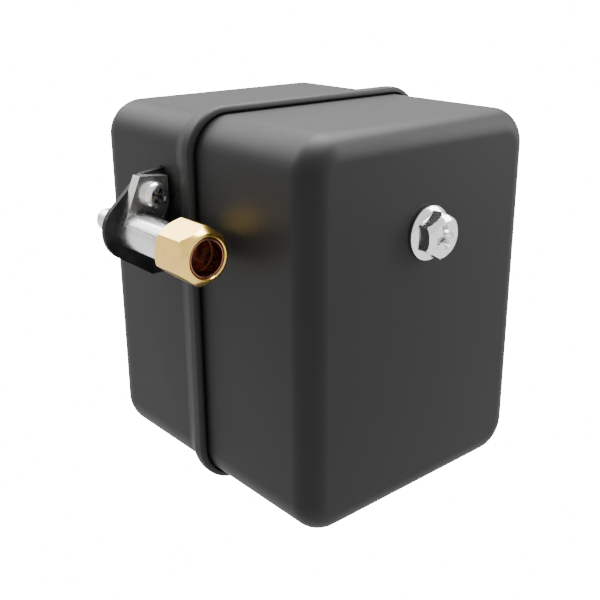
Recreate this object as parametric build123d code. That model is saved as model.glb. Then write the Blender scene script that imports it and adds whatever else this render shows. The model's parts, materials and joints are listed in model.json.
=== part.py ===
from build123d import *
import os
from math import acos, atan2, cos, hypot, radians, sin, sqrt

# Pressure switch with an unloader valve. Millimetres, +Z up.
# Origin: centre of the pressure port's mouth, on the underside.
# The cover faces -Y, the unloader valve stands on the -X side.

# Enclosure
box_width = 75.0
box_height = 96.0
cover_depth = 40.0        # from the rim to the cover's face
housing_depth = 47.0      # from the rim to the back
wall = 2.5
box_bottom = 9.0          # underside of the box above the port's mouth
port_to_rim = 20.0        # port axis to the rim's front edge
corner_radius = 9.5
cover_edge_radius = 6.0
housing_edge_radius = 9.0
rim_stand = 2.0           # rim's crest beyond the box's sides
rim_crest = 3.0
rim_taper = 6.0
rim_edge_radius = 1.2
cover_lap = 2.0           # how far the cover sits inside the rim
cover_gap = 0.4

# Clearances
screw_gap = 0.1           # round a screw's shank
running_gap = 0.07        # round a pin that turns or slides
free_gap = 0.4            # between pieces that move past each other

# Pressure port, diaphragm and piston
port_hex = 22.0
port_bore_radius = 5.7
port_bore_depth = 12.0
port_passage_radius = 2.0
flange_radius = 18.0
flange_thick = 6.0
chamber_radius = 12.0
chamber_depth = 1.8
diaphragm_thick = 2.0
pad_radius = 6.8
pad_thick = 3.5
stem_radius = 3.5
stem_round = 2.4
stem_play = 0.15          # between the stem's top and the lever
flange_screw_offset = 10.5
flange_screw_radius = 2.0
flange_screw_length = 8.0

# Sheet steel frame
sheet = 2.0
thin_sheet = 1.5
wall_to_cheek = 5.0       # room for the unloader lever beside the cheek
frame_to_back = 3.5
frame_front_gap = 1.0     # frame stops this far behind the cover's edge
cheek_height = 68.5       # above the base plate
ear_height = 18.5
ear_depth = 12.0
boss_radius = 4.5
boss_spread = 22.0
boss_above_base = 28.5
frame_screw_radius = 1.6
foot_screw_share = 0.6    # foot screws' place along the bracket's feet

# Screw heads: radius and height
flange_head = (3.2, 2.2)
frame_head = (3.2, 2.0)
foot_head = (2.9, 1.9)
ground_head = (3.5, 2.4)
block_head = (2.9, 1.9)
terminal_head = (3.4, 2.4)
leg_head = (2.7, 1.7)
valve_head = (3.3, 2.4)
head_round = 0.55         # dome's share of a head's height
recess_length = 1.15      # cross recess, in head radii
recess_width = 0.3

# Screw lengths beyond the sheets that they hold
block_screw_reach = 8.0
screw_end = 1.5           # most screws stand this far out of the last sheet
ground_screw_reach = 2.5
hole_beyond = 0.5         # blind holes are this much deeper than their screws

# Main lever
pivot_to_back = 4.0       # pivot axis to the frame's back plate
pivot_above_base = 8.5
lever_above_pivot = 3.0
pin_radius = 2.0
lever_left = 20.5
lever_right = 27.0
lever_front = 12.0
lever_rear_gap = 1.5
flange_front = 3.0
flange_drop = 4.0         # flange below the pivot axis
tongue_half = 8.0
tongue_reach = 42.0
arm_width = 6.55

# Range and differential springs
range_x = 16.0
range_stud_radius = 3.0
range_stud_top = 68.5     # above the base plate
range_spring_radius = 8.2
range_wire_radius = 1.1
range_spring_length = 39.0
range_turns = 6
range_seat_radius = 10.2
range_seat_thick = 2.0
range_nut_size = 10.0
range_nut_height = 6.0
diff_x = -12.0
diff_stud_radius = 2.0
diff_stud_top = 50.5
diff_spring_radius = 4.4
diff_wire_radius = 0.6
diff_spring_length = 25.0
diff_turns = 7
diff_seat_radius = 5.6
diff_seat_thick = 1.5
diff_nut_size = 7.0
diff_nut_height = 3.5
pilot_length = 2.5        # seat's boss inside the spring
spring_seat_gap = 0.02

# Front bracket and contacts
bracket_behind_rim = 4.0  # bracket's front face behind the rim's front edge
bracket_half = 27.0
bracket_height = 52.5     # above the base plate
neck_half = 8.0
neck_margin = 7.0
foot_inner = 15.0
foot_depth = 10.5
window_half = 9.5
window_rise = 20.5        # window's top above the base plate
block_half = 27.0
block_depth = 22.0
block_height = 16.0
slot_half_width = 5.5
stem_half_width = 5.0
carrier_stem_depth = 6.0
carrier_stem_back = 15.0  # stem's rear face in front of the bracket
terminal_pitch = 11.0
terminal_width = 8.0
terminal_thick = 1.2
terminal_drop = 14.0
terminal_top_length = 16.0
terminal_screw_radius = 1.9
terminal_screw_drop = 8.0
terminal_screw_reach = 8.0
block_screw_radius = 1.5
ground_x = -20.0
ground_up = 9.5           # earth screw above the base plate
rib_stand = 5.0
rib_thick = 1.4
contact_radius = 2.2
contact_back = 12.0       # contacts in front of the bracket
fixed_contact_height = 2.0
moving_contact_height = 1.5
bridge_half_length = 8.5
bridge_half_width = 3.0
bridge_thick = 1.2
contact_spring_length = 3.1
contact_spring_radius = 2.3
contact_wire_radius = 0.3
carrier_bar_half = 26.5
carrier_bar_height = 4.0
carrier_bar_depth = 13.0
carrier_post_radius = 1.25
carrier_post_hole = 1.5
carrier_play = 0.1        # between the carrier's stem and the tongue

# Cover screw and its post
cover_screw_height = 70.0  # above the box's underside
post_hex = 8.0
post_gap = 0.2            # between the post and the cover
post_bore_depth = 16.0
cover_screw_radius = 2.48
cover_screw_length = 17.0
cover_hole_radius = 2.85
screw_flange_radius = 6.7
screw_flange_thick = 1.4
screw_hex = 10.0
screw_head_height = 4.2
cross_width = 1.5
cross_length = 6.2
cross_depth = 1.8

# Unloader valve on the left side
valve_out = 9.5           # valve axis to the side wall
valve_height = 68.0       # valve axis above the box's underside
plate_behind_rim = 14.5
plate_end_radius = 8.0
plate_up = 14.3
plate_down = 12.6
plate_corner_in = 3.0
plate_corner_up = 13.5
plate_foot_in = 4.5
ear_thick = 3.0
ear_corner_in = 0.8
ear_corner_up = 13.6
ear_top_up = 12.8
ear_low_up = 5.5
ear_wall_gap = 0.9
barrel_radius = 4.7
barrel_length = 15.6
spigot_radius = 4.9
spigot_length = 8.9
collar_radius = 5.5
collar_length = 1.2
nut_size = 12.7
nut_length = 12.0
nut_turn = 20.0           # degrees
nut_chamfer = 2.7
nut_nose_radius = 5.5
sleeve_outer_radius = 4.62
tube_radius = 4.05
sleeve_inset = 0.2
tube_socket_depth = 5.0
plunger_radius = 2.9
plunger_stand = 13.0      # plunger's end behind the plate
plunger_shoulder = 3.0    # shoulder in front of the plate
plunger_stem_radius = 1.4
plunger_stem_length = 12.0
guide_depth = 7.5
valve_chamber_radius = 3.0
valve_chamber_length = 9.5
valve_passage_radius = 1.5
seal_radius = 2.6
seal_thick = 1.5
valve_spring_radius = 2.05
valve_wire_radius = 0.3
valve_spring_length = 5.0
valve_screw_in = 4.4
valve_screw_up = 8.6
valve_screw_radius = 1.6

# Unloader lever
unloader_gap = 0.2        # lever to plunger and to the main lever's arm
unloader_half_height = 4.0
unloader_pin_radius = 1.25
unloader_hub_radius = 2.4
unloader_pivot_in = 2.8   # pivot axis inside the box's wall
unloader_tip = 0.5        # lever's tip short of the valve axis
unloader_tip_low = 1.5    # top of the tip below the valve axis
unloader_slope = 6.5      # length of the tip's sloped edge along X
unloader_inner = 1.9      # lever beyond the arm's outer face
lug_gap = 0.5
lug_half = 3.0
leg_length = 11.5
leg_screw_spread = 7.5
leg_screw_front = 6.5
leg_screw_radius = 1.5

# Cable entries
entry_hole_radius = 9.0
entry_bore_radius = 5.5
entry_flange_radius = 11.0
entry_flange_thick = 1.8
entry_low = 37.0          # above the box's underside
entry_pitch = 30.0
entry_behind_rim = 24.0

# Places worked out from the dimensions above
half_width = box_width / 2
inner_half = half_width - wall
box_mid = box_bottom + box_height / 2
floor_top = box_bottom + wall
rim_y = -port_to_rim
cover_seat_y = rim_y + cover_lap
cover_face_y = rim_y - cover_depth
cover_inside_y = cover_face_y + wall
back_y = rim_y + housing_depth
back_inside_y = back_y - wall

flange_top = floor_top + flange_thick
base_z = flange_top + diaphragm_thick          # underside of the frame's base plate
base_top = base_z + sheet
frame_back_y = back_inside_y - frame_to_back   # rear face of the frame
frame_back_front = frame_back_y - sheet
cheek_out = inner_half - wall_to_cheek
cheek_in = cheek_out - sheet
frame_front_y = cover_seat_y + frame_front_gap

pivot_y = frame_back_front - pivot_to_back
pivot_z = base_top + pivot_above_base
lever_low = pivot_z + lever_above_pivot
lever_top = lever_low + sheet
lever_rear_y = frame_back_front - lever_rear_gap

bracket_front = rim_y + bracket_behind_rim
bracket_rear = bracket_front + sheet
window_top = base_top + window_rise
block_low = window_top
block_top = block_low + block_height
block_front = bracket_front - block_depth
contact_y = bracket_front - contact_back
fixed_low = block_top + terminal_thick
contact_plane = fixed_low + fixed_contact_height
bridge_low = contact_plane + moving_contact_height
bridge_top = bridge_low + bridge_thick
carrier_low = bridge_top + contact_spring_length
carrier_stem_rear = bracket_front - carrier_stem_back
carrier_stem_front = carrier_stem_rear - carrier_stem_depth
terminal_places = [side * terminal_pitch * n for side in (-1, 1) for n in (1, 2)]
bridge_places = [side * terminal_pitch * 1.5 for side in (-1, 1)]

cover_screw_z = box_bottom + cover_screw_height
post_front = cover_inside_y + post_gap

valve_x = -half_width - valve_out
valve_z = box_bottom + valve_height
plate_front = rim_y + plate_behind_rim
plate_rear = plate_front + thin_sheet
ear_front = plate_front - ear_thick
barrel_front = ear_front - barrel_length
nut_rear = barrel_front - collar_length
nut_front = nut_rear - nut_length
spigot_front = barrel_front - spigot_length
plunger_end = plate_rear + plunger_stand
unloader_front = plunger_end + unloader_gap
unloader_y = unloader_front + thin_sheet / 2
unloader_x = -inner_half + unloader_pivot_in
arm_rear = unloader_front - unloader_gap
arm_front = arm_rear - arm_width
leg_screw_y = plate_rear - leg_screw_front
leg_screw_heights = [valve_z + side * leg_screw_spread for side in (-1, 1)]

entry_y = rim_y + entry_behind_rim
entry_z = [box_bottom + entry_low + n * entry_pitch for n in (0, 1)]
foot_screw_x = (foot_inner + bracket_half) / 2
foot_screw_y = bracket_front + foot_depth * foot_screw_share
block_screw_x = 1.5 * terminal_pitch
block_screw_z = block_top - terminal_screw_drop
terminal_screw_z = block_top - terminal_screw_drop
ground_z = base_top + ground_up


def block(x0, x1, y0, y1, z0, z1):
    size = Box(x1 - x0, y1 - y0, z1 - z0)
    return Pos((x0 + x1) / 2, (y0 + y1) / 2, (z0 + z1) / 2) * size


def upright(sketch, y0, y1, x=0.0, z=0.0):
    """A flat shape drawn in X and Z, from y0 back to y1."""
    plane = Plane((x, y1, z), x_dir=(1, 0, 0), z_dir=(0, -1, 0))
    return extrude(plane * sketch, amount=y1 - y0)


def rod_x(radius, x0, x1, y, z):
    plane = Plane((x0, y, z), x_dir=(0, 1, 0), z_dir=(1, 0, 0))
    return extrude(plane * Circle(radius), amount=x1 - x0)


def rod_y(radius, y0, y1, x, z):
    return upright(Circle(radius), y0, y1, x, z)


def rod_z(radius, z0, z1, x, y):
    return Pos(x, y, z0) * extrude(Circle(radius), amount=z1 - z0)


def hexagon(across_flats, turn=0.0):
    return Rot(0, 0, turn) * RegularPolygon(across_flats / 2, 6, major_radius=False)


def ring_z(outer, inner, z0, z1, x, y):
    return rod_z(outer, z0, z1, x, y) - rod_z(inner, z0 - 1, z1 + 1, x, y)


def ring_y(outer, inner, y0, y1, x, z):
    return rod_y(outer, y0, y1, x, z) - rod_y(inner, y0 - 1, y1 + 1, x, z)


def rounded_case(width, height, radius, y0, y1, edge_radius, end):
    """A block with rounded corners and one rounded end: 0 for the front, -1 for the back."""
    case = upright(RectangleRounded(width, height, radius), y0, y1, 0, box_mid)
    return fillet(case.edges().group_by(Axis.Y)[end], edge_radius)


def coil(mean_radius, wire_radius, length, turns):
    """A compression spring standing on Z = 0."""
    rise = length - 2 * wire_radius
    path = Helix(pitch=rise / turns, height=rise, radius=mean_radius)
    section = Plane(origin=path @ 0, z_dir=path % 0) * Circle(wire_radius)
    return Pos(0, 0, wire_radius) * sweep(section, path=path, is_frenet=True)


def pan_head(radius, height):
    """A domed screw head standing on Z = 0, with a cross recess."""
    head = extrude(Circle(radius), amount=height)
    head = fillet(head.edges().group_by(Axis.Z)[-1], height * head_round)
    for turn in (0, 90):
        bar = Rot(0, 0, turn) * Box(radius * recess_length, radius * recess_width, height)
        head -= Pos(0, 0, height) * bar
    return head


def screw(head, shank_radius, length):
    """A pan head screw along Z, its head's underside at Z = 0 and its shank below."""
    return pan_head(*head) + rod_z(shank_radius, -length, 0, 0, 0)


def facing_front(shape, x, y, z):
    return Pos(x, y, z) * (Rot(90, 0, 0) * shape)


def facing_back(shape, x, y, z):
    return Pos(x, y, z) * (Rot(-90, 0, 0) * shape)


def tangent_point(px, pz, radius, side):
    """Where a line from a point touches a circle about the origin."""
    swing = acos(radius / hypot(px, pz))
    angle = atan2(pz, px) + side * swing
    return (radius * cos(angle), radius * sin(angle))


def save(name, *shapes):
    piece = shapes[0] if len(shapes) == 1 else Compound(children=[s.solid() for s in shapes])
    export_step(piece, "parts/" + name + ".step")


# Enclosure ---------------------------------------------------------------

def rear_housing():
    shell = rounded_case(box_width, box_height, corner_radius, rim_y + rim_crest,
                         back_y, housing_edge_radius, -1)
    rim_width = box_width + 2 * rim_stand
    rim_height = box_height + 2 * rim_stand
    crest = rounded_case(rim_width, rim_height, corner_radius + rim_stand, rim_y,
                         rim_y + rim_crest, rim_edge_radius, 0)
    shell += crest
    wide = Plane((0, rim_y + rim_crest, box_mid), x_dir=(1, 0, 0), z_dir=(0, -1, 0))
    narrow = Plane((0, rim_y + rim_crest + rim_taper, box_mid), x_dir=(1, 0, 0), z_dir=(0, -1, 0))
    shell += loft([wide * RectangleRounded(rim_width, rim_height, corner_radius + rim_stand),
                   narrow * RectangleRounded(box_width, box_height, corner_radius)])
    inside_width = box_width - 2 * wall
    inside_height = box_height - 2 * wall
    shell -= rounded_case(inside_width, inside_height, corner_radius - wall, rim_y - 1,
                          back_inside_y, housing_edge_radius - wall, -1)
    seat_width = box_width + 2 * cover_gap
    seat_height = box_height + 2 * cover_gap
    shell -= upright(RectangleRounded(seat_width, seat_height, corner_radius + cover_gap),
                     rim_y - 1, cover_seat_y, 0, box_mid)
    for side in (-1, 1):
        x = side * boss_spread
        z = base_top + boss_above_base
        shell += rod_y(boss_radius, frame_back_y, back_inside_y + 0.5, x, z)
        shell -= rod_y(frame_screw_radius + screw_gap, frame_back_y - 1, back_inside_y + 1, x, z)
    # opening for the port's hexagon
    shell -= rod_z(port_hex / sqrt(3) + free_gap, box_bottom - rim_stand - 1, floor_top + 1, 0, 0)
    # slots for the unloader bracket and the unloader lever
    outside = -half_width - 1
    inside = -inner_half + 1
    shell -= block(outside, inside, plate_front - screw_gap, plate_rear + screw_gap,
                   valve_z - plate_down - screw_gap, valve_z + plate_up + screw_gap)
    lever_room = unloader_half_height + 1.0
    shell -= block(outside, inside, unloader_front - 2.0, unloader_front + thin_sheet + 1.5,
                   valve_z - lever_room, valve_z + lever_room)
    for n in (0, 1):
        shell -= rod_x(entry_hole_radius, inner_half - 1, half_width + 1, entry_y, entry_z[n])
    save("rear_housing", shell)


def cover():
    shell = rounded_case(box_width, box_height, corner_radius, cover_face_y, cover_seat_y,
                         cover_edge_radius, 0)
    shell -= rounded_case(box_width - 2 * wall, box_height - 2 * wall, corner_radius - wall,
                          cover_inside_y, cover_seat_y + 1, cover_edge_radius - wall, 0)
    shell -= rod_y(cover_hole_radius, cover_face_y - 1, cover_inside_y + 1, 0, cover_screw_z)
    save("cover", shell)


def cable_grommets():
    made = []
    for z in entry_z:
        grommet = rod_x(entry_hole_radius - screw_gap, inner_half, half_width, entry_y, z)
        grommet += rod_x(entry_flange_radius, half_width, half_width + entry_flange_thick, entry_y, z)
        grommet += rod_x(entry_flange_radius, inner_half - entry_flange_thick, inner_half, entry_y, z)
        grommet -= rod_x(entry_bore_radius, inner_half - 5, half_width + 5, entry_y, z)
        made.append(grommet)
    save("cable_grommets", *made)


# Cover screw and post ----------------------------------------------------

def cover_screw():
    head = upright(hexagon(screw_hex), cover_face_y - screw_flange_thick - screw_head_height,
                   cover_face_y - screw_flange_thick)
    tip_y = cover_face_y - screw_flange_thick - screw_head_height
    # rounded crown of the hexagon
    dome_radius = screw_hex * 1.15
    dome = Pos(0, tip_y + dome_radius, 0) * Sphere(dome_radius)
    head = head & dome
    for turn in (0, 90):
        bar = Rot(0, turn, 0) * Box(cross_length, 2 * cross_depth, cross_width)
        head -= Pos(0, tip_y, 0) * bar
    flange = rod_y(screw_flange_radius, cover_face_y - screw_flange_thick, cover_face_y, 0, 0)
    flange = fillet(flange.edges().group_by(Axis.Y)[0], screw_flange_thick * 0.6)
    shank = rod_y(cover_screw_radius, cover_face_y, cover_face_y + cover_screw_length, 0, 0)
    save("cover_screw", Pos(0, 0, cover_screw_z) * (head + flange + shank))


def cover_post():
    post = upright(hexagon(post_hex), post_front, bracket_front, 0, cover_screw_z)
    post -= rod_y(cover_screw_radius + running_gap, post_front - 1, post_front + post_bore_depth,
                  0, cover_screw_z)
    spigot_end = bracket_rear + sheet * 1.5
    post += rod_y(cover_screw_radius, bracket_front, spigot_end, 0, cover_screw_z)
    save("cover_post", post)
    nut = upright(hexagon(post_hex), bracket_rear, spigot_end, 0, cover_screw_z)
    nut -= rod_y(cover_screw_radius + screw_gap, bracket_rear - 1, spigot_end + 1, 0, cover_screw_z)
    save("post_nut", nut)


# Port, diaphragm and piston ----------------------------------------------

def screw_corners():
    return [(i * flange_screw_offset, j * flange_screw_offset) for i in (-1, 1) for j in (-1, 1)]


def port_flange():
    body = extrude(hexagon(port_hex, 30), amount=floor_top)
    body += rod_z(flange_radius, floor_top, flange_top, 0, 0)
    body -= rod_z(port_bore_radius, -1, port_bore_depth, 0, 0)
    body -= rod_z(port_passage_radius, 0, flange_top, 0, 0)
    body -= rod_z(chamber_radius, flange_top - chamber_depth, flange_top + 1, 0, 0)
    for x, y in screw_corners():
        body -= rod_z(flange_screw_radius + screw_gap, flange_top - flange_thick + 1, flange_top + 1, x, y)
    save("port_flange", body)


def diaphragm():
    disc = rod_z(flange_radius, flange_top, base_z, 0, 0)
    for x, y in screw_corners():
        disc -= rod_z(flange_screw_radius + screw_gap, flange_top - 1, base_z + 1, x, y)
    save("diaphragm", disc)


def flange_screws():
    one = screw(flange_head, flange_screw_radius, flange_screw_length)
    save("flange_screws", *[Pos(x, y, base_top) * one for x, y in screw_corners()])


def piston_pad():
    pad = rod_z(pad_radius, base_z, base_z + pad_thick, 0, 0)
    stem = rod_z(stem_radius, base_z + pad_thick, lever_low - stem_play, 0, 0)
    pad += fillet(stem.edges().group_by(Axis.Z)[-1], stem_round)
    save("piston_pad", pad)


# Frame ---------------------------------------------------------------------

def switch_frame():
    frame = block(-cheek_out, cheek_out, frame_front_y, frame_back_y, base_z, base_top)
    cheek_top = base_top + cheek_height
    ear_top = base_top + ear_height
    frame += block(-cheek_out, cheek_out, frame_back_front, frame_back_y, base_z, cheek_top)
    frame += block(-cheek_out, -cheek_in, frame_front_y, frame_back_y, base_z, cheek_top)
    frame += block(cheek_in, cheek_out, frame_back_y - ear_depth, frame_back_y, base_z, ear_top)
    # way for the piston, the screws and the lever pin
    frame -= rod_z(pad_radius + free_gap, base_z - 1, base_top + 1, 0, 0)
    for x, y in screw_corners():
        frame -= rod_z(flange_screw_radius + screw_gap, base_z - 1, base_top + 1, x, y)
    frame -= rod_x(pin_radius + screw_gap, -cheek_out - 1, cheek_out + 1, pivot_y, pivot_z)
    for side in (-1, 1):
        x = side * boss_spread
        z = base_top + boss_above_base
        frame -= rod_y(frame_screw_radius + screw_gap, frame_back_front - 1, frame_back_y + 1, x, z)
        foot_x = side * foot_screw_x
        frame -= rod_z(leg_screw_radius + screw_gap, base_z - 1, base_top + 1, foot_x, foot_screw_y)
    # window and lugs for the unloader lever
    window_half_height = unloader_half_height + lug_gap
    frame -= block(-cheek_out - 1, -cheek_in + 1, unloader_y - lug_half, unloader_y + lug_half,
                   valve_z - window_half_height, valve_z + window_half_height)
    for low in (valve_z - window_half_height - thin_sheet, valve_z + window_half_height):
        lug = block(-inner_half + free_gap, -cheek_out + 0.01, unloader_y - lug_half,
                    unloader_y + lug_half, low, low + thin_sheet)
        lug -= rod_z(unloader_pin_radius + screw_gap, low - 1, low + 3, unloader_x, unloader_y)
        frame += lug
    for z in leg_screw_heights:
        frame -= rod_x(leg_screw_radius + screw_gap, -cheek_out - 1, -cheek_in + 1, leg_screw_y, z)
    save("switch_frame", frame)


def frame_screws():
    one = screw(frame_head, frame_screw_radius, sheet + frame_to_back + 0.5)
    z = base_top + boss_above_base
    places = [side * boss_spread for side in (-1, 1)]
    save("frame_screws", *[facing_front(one, x, frame_back_front, z) for x in places])


def front_bracket():
    plate = block(-bracket_half, bracket_half, bracket_front, bracket_rear, base_top,
                  base_top + bracket_height)
    neck_top = cover_screw_z + neck_margin
    plate += block(-neck_half, neck_half, bracket_front, bracket_rear, base_top + bracket_height - 1,
                   neck_top)
    plate -= block(-window_half, window_half, bracket_front - 1, bracket_rear + 1, base_top - 1,
                   window_top)
    for side in (-1, 1):
        inner, outer = sorted((side * foot_inner, side * bracket_half))
        plate += block(inner, outer, bracket_front, bracket_front + foot_depth, base_top,
                       base_top + thin_sheet)
        plate -= rod_z(leg_screw_radius + screw_gap, base_top - 1, base_top + 3, side * foot_screw_x,
                       foot_screw_y)
        plate -= rod_y(block_screw_radius + screw_gap, bracket_front - 1, bracket_rear + 1,
                       side * block_screw_x, block_screw_z)
    plate -= rod_y(cover_screw_radius + screw_gap, bracket_front - 1, bracket_rear + 1, 0, cover_screw_z)
    plate -= rod_y(block_screw_radius + screw_gap, bracket_front - 1, bracket_rear + 1,
                   ground_x, ground_z)
    save("front_bracket", plate)
    one = screw(foot_head, leg_screw_radius, thin_sheet + sheet)
    places = [side * foot_screw_x for side in (-1, 1)]
    save("bracket_screws", *[Pos(x, foot_screw_y, base_top + thin_sheet) * one for x in places])
    ground = screw(ground_head, block_screw_radius, sheet + ground_screw_reach)
    save("ground_screw", facing_front(ground, ground_x, bracket_front, ground_z))


# Main lever ------------------------------------------------------------------

def main_lever():
    lever = block(-lever_left, lever_right, -lever_front, lever_rear_y, lever_low, lever_top)
    lever += block(-tongue_half, tongue_half, -tongue_reach, -lever_front, lever_low, lever_top)
    for x0 in (-lever_left, lever_right - thin_sheet):
        lever += block(x0, x0 + thin_sheet, flange_front, lever_rear_y, pivot_z - flange_drop, lever_low)
    lever += block(-lever_left, -lever_left + thin_sheet, arm_front, arm_rear, lever_top, valve_z)
    lever -= rod_x(pin_radius + running_gap, -lever_left - 1, lever_right + 1, pivot_y, pivot_z)
    for x, radius in ((range_x, range_stud_radius), (diff_x, diff_stud_radius)):
        lever -= rod_z(radius + 3.5 * free_gap, lever_low - 1, lever_top + 1, x, 0)
    save("main_lever", lever)


def lever_pin():
    head = 1.2
    pin = rod_x(pin_radius, -cheek_out, cheek_out + 2 * head, pivot_y, pivot_z)
    pin += rod_x(pin_radius + head, -cheek_out - head, -cheek_out, pivot_y, pivot_z)
    save("lever_pin", pin)
    clip = rod_x(2 * pin_radius, cheek_out, cheek_out + head, pivot_y, pivot_z)
    clip -= rod_x(pin_radius + screw_gap, cheek_out - 1, cheek_out + 2 * head, pivot_y, pivot_z)
    clip -= block(cheek_out - 1, cheek_out + 2 * head, pivot_y - pin_radius * 0.8,
                  pivot_y + pin_radius * 0.8, pivot_z - 3 * pin_radius, pivot_z)
    save("lever_pin_clip", clip)
    tube = rod_x(pin_radius + 1.6, -cheek_in + 0.1, -lever_left - 0.2, pivot_y, pivot_z)
    tube -= rod_x(pin_radius + screw_gap, -cheek_out, -lever_left + 1, pivot_y, pivot_z)
    save("lever_spacer", tube)


# Springs ---------------------------------------------------------------------

def spring_set(name, x, stud_radius, stud_top, mean_radius, wire_radius, length, turns,
               seat_radius, seat_thick, nut_size_here, nut_height):
    stud = rod_z(stud_radius, base_top, base_top + stud_top, x, 0)
    stud += rod_z(stud_radius * 1.5, base_top, base_top + 2.0, x, 0)
    save(name + "_stud", chamfer(stud.edges().group_by(Axis.Z)[-1], stud_radius * 0.2))
    low = lever_top + spring_seat_gap
    save(name + "_spring", Pos(x, 0, low) * coil(mean_radius, wire_radius, length - spring_seat_gap, turns))
    seat_low = lever_top + length + spring_seat_gap
    seat = rod_z(seat_radius, seat_low, seat_low + seat_thick, x, 0)
    seat += rod_z(mean_radius - wire_radius - free_gap, seat_low - pilot_length, seat_low, x, 0)
    seat -= rod_z(stud_radius + running_gap, seat_low - 5, seat_low + 5, x, 0)
    save(name + "_seat", seat)
    nut_low = seat_low + seat_thick
    nut = Pos(x, 0, nut_low) * extrude(hexagon(nut_size_here), amount=nut_height)
    nut -= rod_z(stud_radius + running_gap, nut_low - 1, nut_low + nut_height + 1, x, 0)
    save(name + "_nut", nut)


# Contacts --------------------------------------------------------------------

def contact_block():
    body = block(-block_half, block_half, block_front, bracket_front, block_low, block_top)
    for x in (-1.5 * terminal_pitch, 0, 1.5 * terminal_pitch):
        body += block(x - rib_thick / 2, x + rib_thick / 2, block_front - rib_stand, block_front,
                      block_top - terminal_drop, block_top)
    body -= block(-slot_half_width, slot_half_width, carrier_stem_front - free_gap,
                  carrier_stem_rear + free_gap, block_low - 1, block_top + 1)
    for x in terminal_places:
        body -= rod_y(terminal_screw_radius + screw_gap, block_front - 1,
                      block_front + terminal_screw_reach + hole_beyond, x, terminal_screw_z)
    for side in (-1, 1):
        body -= rod_y(block_screw_radius + screw_gap,
                      bracket_front - block_screw_reach - hole_beyond, bracket_front + 1,
                      side * block_screw_x, block_screw_z)
    save("contact_block", body)
    one = screw(block_head, block_screw_radius, sheet + block_screw_reach)
    places = [side * block_screw_x for side in (-1, 1)]
    save("block_screws", *[facing_back(one, x, bracket_rear, block_screw_z) for x in places])


def terminals():
    strips = []
    for x in terminal_places:
        left = x - terminal_width / 2
        right = x + terminal_width / 2
        strip = block(left, right, block_front - terminal_thick, block_front + terminal_top_length,
                      block_top, block_top + terminal_thick)
        strip += block(left, right, block_front - terminal_thick, block_front,
                       block_top - terminal_drop, block_top)
        strip -= rod_y(terminal_screw_radius + screw_gap, block_front - 5, block_front + 1, x,
                       terminal_screw_z)
        strips.append(strip)
    save("terminal_strips", *strips)
    one = screw(terminal_head, terminal_screw_radius, terminal_thick + terminal_screw_reach)
    save("terminal_screws", *[facing_front(one, x, block_front - terminal_thick, terminal_screw_z)
                              for x in terminal_places])
    save("fixed_contacts", *[rod_z(contact_radius, fixed_low, contact_plane, x, contact_y)
                             for x in terminal_places])
    save("moving_contacts", *[rod_z(contact_radius, contact_plane, bridge_low, x, contact_y)
                              for x in terminal_places])


def contact_carrier():
    bar = block(-carrier_bar_half, carrier_bar_half, contact_y - carrier_bar_depth / 2,
                contact_y + carrier_bar_depth / 2, carrier_low, carrier_low + carrier_bar_height)
    stem = block(-stem_half_width, stem_half_width, carrier_stem_front, carrier_stem_rear,
                 lever_top + carrier_play, carrier_low + carrier_bar_height)
    stem = fillet(stem.edges().group_by(Axis.Z)[0].filter_by(Axis.X), 1.5)
    carrier = bar + stem
    for x in bridge_places:
        carrier += rod_z(carrier_post_radius, contact_plane + 0.3, carrier_low, x, contact_y)
        carrier += rod_z(carrier_post_radius + 0.9, contact_plane + 0.3, bridge_low - 0.1, x, contact_y)
    save("contact_carrier", carrier)
    bridges = []
    springs = []
    spring = coil(contact_spring_radius, contact_wire_radius, contact_spring_length - 0.04, 3)
    for x in bridge_places:
        bridge = block(x - bridge_half_length, x + bridge_half_length, contact_y - bridge_half_width,
                       contact_y + bridge_half_width, bridge_low, bridge_top)
        bridge = fillet(bridge.edges().filter_by(Axis.Z), bridge_half_width * 0.6)
        bridges.append(bridge - rod_z(carrier_post_hole, bridge_low - 1, bridge_top + 1, x, contact_y))
        springs.append(Pos(x, contact_y, bridge_top + 0.02) * spring)
    save("contact_bridges", *bridges)
    save("contact_springs", *springs)


# Unloader valve ----------------------------------------------------------------

def unloader_bracket():
    left_up = tangent_point(plate_corner_in, plate_corner_up, plate_end_radius, 1)
    left_down = tangent_point(plate_foot_in, -plate_down, plate_end_radius, -1)
    to_leg = -cheek_out - valve_x
    outline = Polyline((to_leg, plate_up), (valve_out, plate_up), (plate_corner_in, plate_corner_up),
                       left_up, (0, 0), left_down, (plate_foot_in, -plate_down),
                       (to_leg, -plate_down), close=True)
    plate = upright(make_face(outline) + Circle(plate_end_radius), plate_front, plate_rear,
                    valve_x, valve_z)
    plate += block(-cheek_out - thin_sheet, -cheek_out, plate_rear - leg_length, plate_rear,
                   valve_z - plate_down, valve_z + plate_down)
    plate -= rod_y(plunger_radius + free_gap, plate_front - 1, plate_rear + 1, valve_x, valve_z)
    plate -= rod_y(valve_screw_radius + screw_gap, plate_front - 1, plate_rear + 1,
                   valve_x + valve_screw_in, valve_z + valve_screw_up)
    for z in leg_screw_heights:
        plate -= rod_x(leg_screw_radius + screw_gap, -cheek_out - 3, -cheek_out + 1, leg_screw_y, z)
    save("unloader_bracket", plate)
    one = Rot(0, -90, 0) * screw(leg_head, leg_screw_radius, thin_sheet + sheet + screw_end)
    save("unloader_bracket_screws",
         *[Pos(-cheek_out - thin_sheet, leg_screw_y, z) * one for z in leg_screw_heights])


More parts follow.
